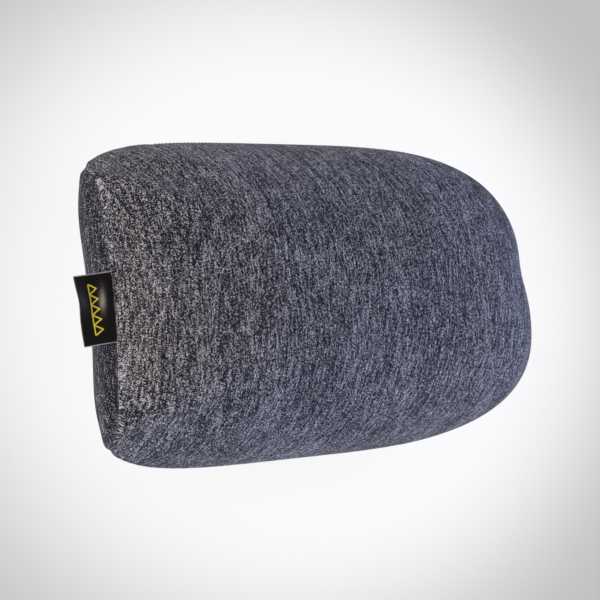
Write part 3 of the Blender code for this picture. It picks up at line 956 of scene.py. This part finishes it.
# %% Bead row tree
def bead_row_tree():
    """A tree that sets rounded beads along a path."""
    tree = bpy.data.node_groups.new("bead_row", "GeometryNodeTree")
    for name, way, kind in (
        ("Path", "INPUT", "Geometry"),
        ("Pitch", "INPUT", "Float"),
        ("Bead Size", "INPUT", "Vector"),
        ("Finish", "INPUT", "Material"),
        ("Row", "OUTPUT", "Geometry"),
    ):
        tree.interface.new_socket(name, in_out=way, socket_type="NodeSocket" + kind)
    given = add_node(tree, "NodeGroupInput")
    line = add_node(tree, "GeometryNodeMeshToCurve", {"Mesh": given.outputs["Path"]})
    even = add_node(
        tree,
        "GeometryNodeResampleCurve",
        {"Curve": line.outputs[0], "Length": given.outputs["Pitch"]},
        mode="LENGTH",
    )
    tangent = add_node(tree, "GeometryNodeInputTangent")
    turned = add_node(
        tree, "FunctionNodeAlignRotationToVector", {"Vector": tangent.outputs[0]}, axis="Z"
    )
    bead = add_node(
        tree, "GeometryNodeMeshUVSphere", {"Segments": 8, "Rings": 5, "Radius": 0.5}
    )
    beads = add_node(
        tree,
        "GeometryNodeInstanceOnPoints",
        {
            "Points": even.outputs[0],
            "Instance": bead.outputs["Mesh"],
            "Rotation": turned.outputs[0],
            "Scale": given.outputs["Bead Size"],
        },
    )
    real = add_node(tree, "GeometryNodeRealizeInstances", {"Geometry": beads.outputs[0]})
    round_off = add_node(tree, "GeometryNodeSetShadeSmooth", {"Geometry": real.outputs[0]})
    coated = add_node(
        tree,
        "GeometryNodeSetMaterial",
        {"Geometry": round_off.outputs[0], "Material": given.outputs["Finish"]},
    )
    add_node(tree, "NodeGroupOutput", {"Row": coated.outputs[0]})
    return tree


BEAD_ROW = bead_row_tree()


def bead_row(name, paths, pitch, bead_size, finish, nodes=()):
    """Beads along one or more paths, as one plain mesh that rides on the pillow."""
    points, edges = [], []
    for path in paths:
        edges += [(len(points) + i, len(points) + i + 1) for i in range(len(path) - 1)]
        points += [tuple(point) for point in path]
    mesh = bpy.data.meshes.new(name + "_path")
    mesh.from_pydata(points, edges, [])
    trial = new_object(name + "_path", mesh)
    step = trial.modifiers.new("beads", "NODES")
    step.node_group = BEAD_ROW
    values = {"Pitch": pitch, "Bead Size": bead_size, "Finish": finish}
    for item in BEAD_ROW.interface.items_tree:
        if item.in_out == "INPUT" and item.name in values:
            step[item.identifier] = values[item.name]
    graph = bpy.context.evaluated_depsgraph_get()
    made = new_object(name, bpy.data.meshes.new_from_object(trial.evaluated_get(graph)))
    bpy.data.objects.remove(trial)
    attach(made, "pillow")
    if nodes:
        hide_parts(*nodes)
    print(name, len(made.data.polygons), "faces")
    return made


# %% [markdown]
# ## Stitching
# The seam is closed by a lockstitch that lies deep in the groove, and the zip's hems are held to
# its tape by a row of topstitching on either side of the slot.

# %% Seam stitches and topstitching
STITCH_PITCH = 0.0030
STITCH_SIZE = (0.00045, 0.00045, 0.0024)
SEAM_STITCH_DEPTH = 0.0019
TOPSTITCH_OFF = 0.0030
TOPSTITCH_RISE = 0.0001
label_low, label_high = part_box("side_label")

u, v = grid_shares(ROWS, COLUMNS)
seam_turn = turn_toward(u, v)[border]
seam, _ = walk(seam_turn, 1, 0.0, 1.0)
sunk = seam - plan_normals(seam) * SEAM_STITCH_DEPTH
open_share = zip_share(seam)
in_label = (seam[:, 0] < 0) & (seam[:, 1] > label_low.y) & (seam[:, 1] < label_high.y)
start = int(np.flatnonzero(in_label)[-1]) + 1
order = np.roll(np.arange(len(seam)), -start)
first_zip, *_, last_zip = np.flatnonzero(open_share[order] > 0.01)
last_plain = np.flatnonzero(~in_label[order])[-1]
plain_run = sunk[order[: first_zip - 1]]
zip_run = sunk[order[last_zip + 2 : last_plain]]
bead_row(
    "seam_stitches",
    [plain_run.tolist(), zip_run.tolist()],
    STITCH_PITCH,
    STITCH_SIZE,
    thread,
    ("seam_thread_plain_side", "seam_thread_zip_side"),
)

rows = []
for side in (1, -1):
    ring, _ = walk(seam_turn, side, open_share * SLOT_HALF_HEIGHT + TOPSTITCH_OFF, 1.0)
    rows.append((ring + plan_normals(ring) * TOPSTITCH_RISE)[open_share > 0.9].tolist())
bead_row("zip_topstitching", rows, STITCH_PITCH, STITCH_SIZE, thread)

# %% [markdown]
# ## Zip
# The coil is two spirals of nylon sewn to the tapes. At this scale each turn is a rounded bead
# across the tape, and the two rows mesh half a pitch apart. The tapes, stops and slider keep the
# places that the CAD gives them.

# %% Coil, tapes, stops and slider
COIL_PITCH = 0.00125
TURN_LENGTH = 0.0010
TURN_HEIGHT = 0.0015
TURN_OFF_TAPE = 0.0003
TURN_WIDER = 1.25
TURN_INWARD = 0.17
for half, up, shift in (("upper", 1, 0.0), ("lower", -1, 0.5)):
    node = f"zip_coil_{half}"
    low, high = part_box(node)
    width = high.z - low.z
    turn_z = (high.z + low.z) / 2 - up * TURN_INWARD * width
    ends = [low.x + (0.5 + shift) * COIL_PITCH, high.x - (1 - shift) * COIL_PITCH]
    path = [(x, tape_face(x) + TURN_OFF_TAPE + TURN_HEIGHT / 2, turn_z) for x in ends]
    turn_size = (TURN_WIDER * width, TURN_HEIGHT, TURN_LENGTH)
    bead_row(f"zip_coil_turns_{half}", [path], COIL_PITCH, turn_size, nylon, (node,))

for node, finish in (
    ("zip_tape_upper", tape),
    ("zip_tape_lower", tape),
    ("zip_top_stop_upper", nylon),
    ("zip_top_stop_lower", nylon),
    ("zip_bottom_stop", nylon),
):
    kept = frame["nodes"][node]
    kept.data.materials.clear()
    kept.data.materials.append(finish)


def bevelled_copy(node, name, body_name, width):
    """A CAD piece with its edges rounded as a casting's are."""
    bm = bmesh.new()
    bm.from_mesh(frame["nodes"][node].data)
    bmesh.ops.remove_doubles(bm, verts=bm.verts, dist=0.00001)
    bmesh.ops.dissolve_limit(bm, angle_limit=math.radians(1), verts=bm.verts, edges=bm.edges)
    mesh = bpy.data.meshes.new(name)
    bm.to_mesh(mesh)
    bm.free()
    mesh.materials.append(zinc)
    made = new_object(name, mesh)
    edge = made.modifiers.new("cast_edges", "BEVEL")
    edge.width = width
    edge.segments = 2
    edge.limit_method = "ANGLE"
    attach(made, body_name)
    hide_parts(node)
    return made


bevelled_copy("zip_slider", "zip_slider_body", "slider", 0.00018)
bevelled_copy("zip_pull", "zip_pull_tab", "pull", 0.00022)
print("zip finished")

# %% [markdown]
# ## Side label
# The label is a strip of black satin ribbon folded in half, its cut ends caught in the end seam. It
# hangs a little askew. A plain generic mark is printed on it: a row of small tent shapes. It is
# modelled as one strip that runs out, round the fold and back, then thickened.

# %% Label strip
LABEL_PLY = 0.0003
LABEL_PART = 0.00065
LABEL_DROP = 0.0074
LABEL_SAG = 0.78
LABEL_SKEW = -0.0019
LABEL_SHIFT = -0.0022
LABEL_CROOK = 0.17
LABEL_REACH_SHARE = 1.04
SAG_OUT = 0.008
SAG_LENGTH = 0.0045
SAG_ACROSS = 0.13
SAG_WIDTH = 0.27
LABEL_RIPPLE = 0.00025
WIDTH_CELLS = 44
REACH_CELLS = 40
FOLD_CELLS = 6

label_width = label_high.y - label_low.y
root = (label_low + label_high) / 2
root.x = label_high.x
root.z = label_high.z - LABEL_PLY - LABEL_PART / 2
reach_out = (label_high.x - label_low.x) * LABEL_REACH_SHARE


def label_line(s):
    """The middle line of one ply at s across the ribbon: X, Z and slope at even steps outwards."""
    reach = reach_out * (1 + LABEL_CROOK * (s + 0.5))
    out = np.linspace(0, reach, REACH_CELLS + 1)
    rise = np.clip(out / 0.003, 0, 1)
    bulge = np.exp(-(((out - SAG_OUT) / SAG_LENGTH) ** 2) - ((s - SAG_ACROSS) / SAG_WIDTH) ** 2)
    step = reach / REACH_CELLS
    even = (LABEL_DROP - LABEL_SAG * bulge.sum() * step) / reach
    angle = rise * (even + LABEL_SAG * bulge)
    x = np.concatenate([[0], np.cumsum(np.cos(angle[1:]) * step)])
    z = -np.concatenate([[0], np.cumsum(np.sin(angle[1:]) * step)])
    return x, z, angle, out - reach


def label_strip():
    """Points and ribbon coordinates: out on the upper ply, round the fold, back on the lower."""
    half = LABEL_PART / 2
    order = [(k, 0) for k in range(REACH_CELLS + 1)]
    order += [(REACH_CELLS, k) for k in range(1, FOLD_CELLS)]
    order += [(k, FOLD_CELLS) for k in range(REACH_CELLS, -1, -1)]
    across = [j / WIDTH_CELLS - 0.5 for j in range(WIDTH_CELLS + 1)]
    lines = [label_line(s) for s in across]
    points, marks = [], []
    for k, fold in order:
        round_fold = math.pi * fold / FOLD_CELLS
        up = half * math.cos(round_fold)
        on = half * math.sin(round_fold)
        share = k / REACH_CELLS
        for s, (x, z, angle, from_fold) in zip(across, lines):
            ripple = LABEL_RIPPLE * math.sin(2.3 * math.pi * s + 0.6) * share
            px = root.x - x[k] - up * math.sin(angle[k]) - on * math.cos(angle[k])
            py = root.y + s * label_width + LABEL_SHIFT + LABEL_SKEW * share
            pz = root.z + z[k] + up * math.cos(angle[k]) - on * math.sin(angle[k]) + ripple
            points.append((px, py, pz))
            marks.append((s * label_width, from_fold[k] if fold == 0 else 0.01, 0))
    wide = WIDTH_CELLS + 1
    faces = [
        (k * wide + j, k * wide + j + 1, (k + 1) * wide + j + 1, (k + 1) * wide + j)
        for k in range(len(order) - 1)
        for j in range(WIDTH_CELLS)
    ]
    return points, faces, marks


points, faces, marks = label_strip()
label_mesh = mesh_from("side_label_ribbon", points, faces)
ribbon_mark = label_mesh.attributes.new("ribbon", "FLOAT_VECTOR", "POINT")
ribbon_mark.data.foreach_set("vector", np.array(marks, np.float32).ravel())
ribbon = new_object("side_label_ribbon", label_mesh)
wall = ribbon.modifiers.new("ribbon_wall", "SOLIDIFY")
wall.thickness = LABEL_PLY
wall.offset = 0
print("label strip", len(points), "points")

# %% [markdown]
# ## Satin ribbon
# The ribbon is black satin, whose long floats of filament give a soft, broad shine. A pale grey is
# painted along its two woven edges, a painted highlight where they catch the light. The mark is a
# row of outlined tents, drawn by distance from lines, so it needs no picture and stays sharp at any
# size.

# %% Satin and its printed mark
satin, tree, shader = new_finish("black_satin_ribbon", 0.36, Specular_IOR_Level=1.0)
place = add_node(tree, "ShaderNodeAttribute", attribute_name="ribbon")
parts = add_node(tree, "ShaderNodeSeparateXYZ", {0: place.outputs["Vector"]})
MARK_PITCH = 0.0062
MARK_HEIGHT = 0.0052
MARK_STROKE = 0.0009
MARK_RUN = 0.0155
MARK_OFF_FOLD = 0.0105
EDGE_HIGHLIGHT_WIDTH = 0.0006


def maths(operation, *values):
    """The result of one Math node in the label's material."""
    node = add_node(tree, "ShaderNodeMath", dict(enumerate(values)), operation=operation)
    return node.outputs[0]


along = maths("MULTIPLY", parts.outputs[0], 1 / MARK_PITCH)
cell = maths("ABSOLUTE", maths("SUBTRACT", maths("FRACT", maths("ADD", along, 100.5)), 0.5))
middle = maths("ADD", parts.outputs[1], MARK_OFF_FOLD)
roof = maths("SUBTRACT", maths("MULTIPLY", cell, 2 * MARK_HEIGHT), MARK_HEIGHT / 2)
off_roof = maths("ABSOLUTE", maths("SUBTRACT", middle, roof))
tent = maths("LESS_THAN", off_roof, MARK_STROKE)
below = maths("LESS_THAN", maths("ABSOLUTE", middle), MARK_HEIGHT / 2 + MARK_STROKE / 2)
within = maths("LESS_THAN", maths("ABSOLUTE", parts.outputs[0]), MARK_RUN)
off_ground = maths("ABSOLUTE", maths("SUBTRACT", middle, MARK_HEIGHT / 2))
ground = maths("LESS_THAN", off_ground, MARK_STROKE / 2)
drawn = maths("MAXIMUM", maths("MULTIPLY", tent, below), ground)
inked = maths("MULTIPLY", drawn, within)
printed = add_node(
    tree,
    "ShaderNodeMix",
    {0: inked, 6: linear("#0b0b0d"), 7: linear("#f0df45")},
    data_type="RGBA",
)
# Painted highlight: a pale grey band along both woven edges of the ribbon
edge_highlight = maths("GREATER_THAN", maths("ABSOLUTE", parts.outputs[0]), label_width / 2 - EDGE_HIGHLIGHT_WIDTH)
edge_highlighted = add_node(
    tree,
    "ShaderNodeMix",
    {0: edge_highlight, 6: printed.outputs[2], 7: linear("#b0b0ba")},
    data_type="RGBA",
)
tree.links.new(edge_highlighted.outputs[2], shader.inputs["Base Color"])
threads = add_node(
    tree,
    "ShaderNodeVectorMath",
    {0: place.outputs["Vector"], 1: (2500, 700, 1)},
    operation="MULTIPLY",
)
weave = add_node(tree, "ShaderNodeTexNoise", {"Vector": threads.outputs[0], "Scale": 1.0})
bump = add_node(
    tree, "ShaderNodeBump", {"Height": weave.outputs[0], "Strength": 0.35, "Distance": 0.0002}
)
tree.links.new(bump.outputs[0], shader.inputs["Normal"])
ribbon.data.materials.append(satin)
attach(ribbon, "pillow")
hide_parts("side_label")

# %% Size and finish
low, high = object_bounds()
print("visual box", [round(1000 * side, 1) for side in high - low], "mm")
